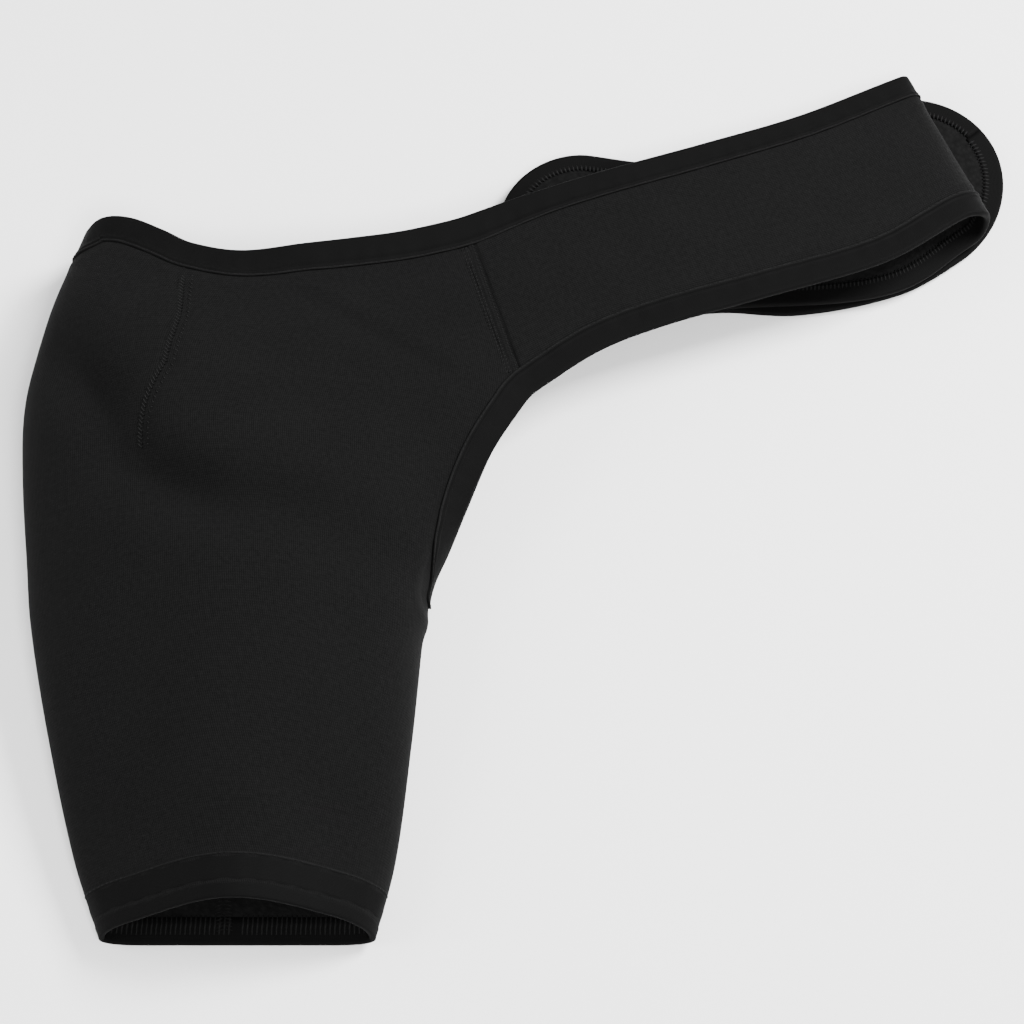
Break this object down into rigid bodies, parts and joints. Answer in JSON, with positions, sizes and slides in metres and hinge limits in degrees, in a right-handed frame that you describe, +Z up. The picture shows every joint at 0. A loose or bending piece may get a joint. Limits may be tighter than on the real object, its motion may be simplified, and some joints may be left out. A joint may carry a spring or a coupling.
{
  "type": "shoulder brace",
  "caption": "Neoprene shoulder brace lying on its back: an open upper-arm sleeve widens into a shoulder cap, and two overlapping straps close round the chest.",
  "frame": {"origin": "on the table under the middle of the part's outer box", "axes": "+Z up from the table, out of the front panel; +Y from the cuff towards the neck edge; +X from the sleeve along the straps"},
  "size_m": [0.5182, 0.4764, 0.073],
  "materials": {
    "neoprene": "matt black knitted face on foam",
    "tape": "matt black elastic binding tape",
    "hook": "black hook tape"
  },
  "bodies": {
    "root": {"sleeve_body": "neoprene", "front_strap": "neoprene", "back_strap": "neoprene", "neck_binding": "tape", "underarm_binding": "tape", "cuff_binding": "tape", "hook_patch": "hook"}
  },
  "joints": []
}
